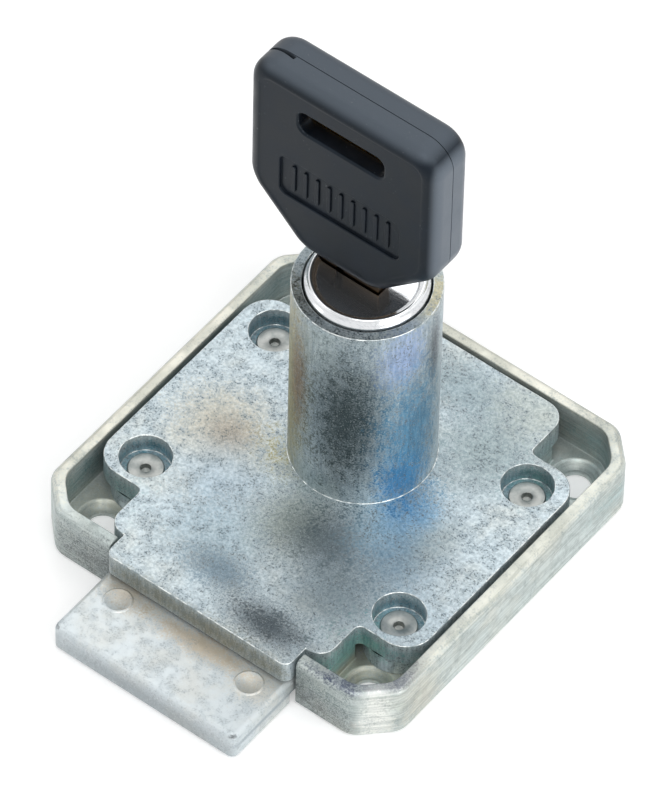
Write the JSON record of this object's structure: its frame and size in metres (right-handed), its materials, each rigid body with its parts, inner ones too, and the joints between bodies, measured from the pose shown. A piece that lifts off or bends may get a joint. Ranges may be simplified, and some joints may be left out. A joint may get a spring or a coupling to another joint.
{
  "type": "furniture cylinder lock",
  "caption": "Surface-mounted cylinder lock for a drawer or cabinet door: square metal casing, round barrel, sliding bolt and a key with a plastic bow.",
  "frame": {"origin": "where the barrel axis meets the flat back face of the casing", "axes": "+Z along the barrel axis from the back face towards the key, +Y away from the bolt's end, so the bolt points to -Y, +X to the right"},
  "size_m": [0.056, 0.0671, 0.0742],
  "materials": {
    "casing_zinc": "zinc-plated die-casting, dull grey with fine drag marks",
    "cover_zinc": "zinc-plated die-casting, iridescent blue and gold stains",
    "bolt_zinc": "zinc-plated die-casting, pale blue-white",
    "rivet_steel": "bare pressed metal",
    "core_zinc": "plain die-casting",
    "cap_chrome": "polished",
    "cam_steel": "plain",
    "spring_steel": "plain",
    "wafer_brass": "stamped",
    "key_brass": "milled",
    "bow_plastic": "black, satin to glossy"
  },
  "bodies": {
    "lock_body": {"casing": "casing_zinc", "cover": "cover_zinc", "rivet_front_left": "rivet_steel", "rivet_front_right": "rivet_steel", "rivet_rear_left": "rivet_steel", "rivet_rear_right": "rivet_steel"},
    "bolt": {"bolt": "bolt_zinc"},
    "core": {"plug": "core_zinc", "plug_cap": "cap_chrome", "drive_cam": "cam_steel", "cam_clip": "spring_steel", "wafer_spring_1": "spring_steel", "wafer_spring_2": "spring_steel", "wafer_spring_3": "spring_steel", "wafer_spring_4": "spring_steel", "wafer_spring_5": "spring_steel", "wafer_spring_6": "spring_steel"},
    "key": {"key_blade": "key_brass", "key_bow_front": "bow_plastic", "key_bow_back": "bow_plastic"},
    "wafer_1": {"wafer_1": "wafer_brass"},
    "wafer_2": {"wafer_2": "wafer_brass"},
    "wafer_3": {"wafer_3": "wafer_brass"},
    "wafer_4": {"wafer_4": "wafer_brass"},
    "wafer_5": {"wafer_5": "wafer_brass"},
    "wafer_6": {"wafer_6": "wafer_brass"}
  },
  "joints": [
    {"name": "key_turn", "type": "hinge", "parent": "lock_body", "child": "core", "pos_m": [0, 0, 0.02], "axis": [0, 0, 1], "range_deg": [0, 180]},
    {"name": "bolt_slide", "type": "slide", "parent": "lock_body", "child": "bolt", "axis": [0, 1, 0], "range_m": [0, 0.0105]},
    {"name": "key_pull", "type": "slide", "parent": "core", "child": "key", "axis": [0, 0, 1], "range_m": [0, 0.028]},
    {"name": "wafer_1_slide", "type": "slide", "parent": "core", "child": "wafer_1", "axis": [-1, 0, 0], "range_m": [0, 0.00112], "deforming": ["wafer_spring_1"]},
    {"name": "wafer_2_slide", "type": "slide", "parent": "core", "child": "wafer_2", "axis": [-1, 0, 0], "range_m": [0, 0.00112], "deforming": ["wafer_spring_2"]},
    {"name": "wafer_3_slide", "type": "slide", "parent": "core", "child": "wafer_3", "axis": [-1, 0, 0], "range_m": [0, 0.00112], "deforming": ["wafer_spring_3"]},
    {"name": "wafer_4_slide", "type": "slide", "parent": "core", "child": "wafer_4", "axis": [-1, 0, 0], "range_m": [0, 0.00112], "deforming": ["wafer_spring_4"]},
    {"name": "wafer_5_slide", "type": "slide", "parent": "core", "child": "wafer_5", "axis": [-1, 0, 0], "range_m": [0, 0.00112], "deforming": ["wafer_spring_5"]},
    {"name": "wafer_6_slide", "type": "slide", "parent": "core", "child": "wafer_6", "axis": [-1, 0, 0], "range_m": [0, 0.00112], "deforming": ["wafer_spring_6"]}
  ],
  "couplings": [
    {"joint": "bolt_slide", "follows": "key_turn", "m_per_rad": 0.003342},
    {"joint": "wafer_1_slide", "follows": "key_pull", "ratio": 0.0399},
    {"joint": "wafer_2_slide", "follows": "key_pull", "ratio": 0.0399},
    {"joint": "wafer_3_slide", "follows": "key_pull", "ratio": 0.0399},
    {"joint": "wafer_4_slide", "follows": "key_pull", "ratio": 0.0399},
    {"joint": "wafer_5_slide", "follows": "key_pull", "ratio": 0.0399},
    {"joint": "wafer_6_slide", "follows": "key_pull", "ratio": 0.0399}
  ]
}
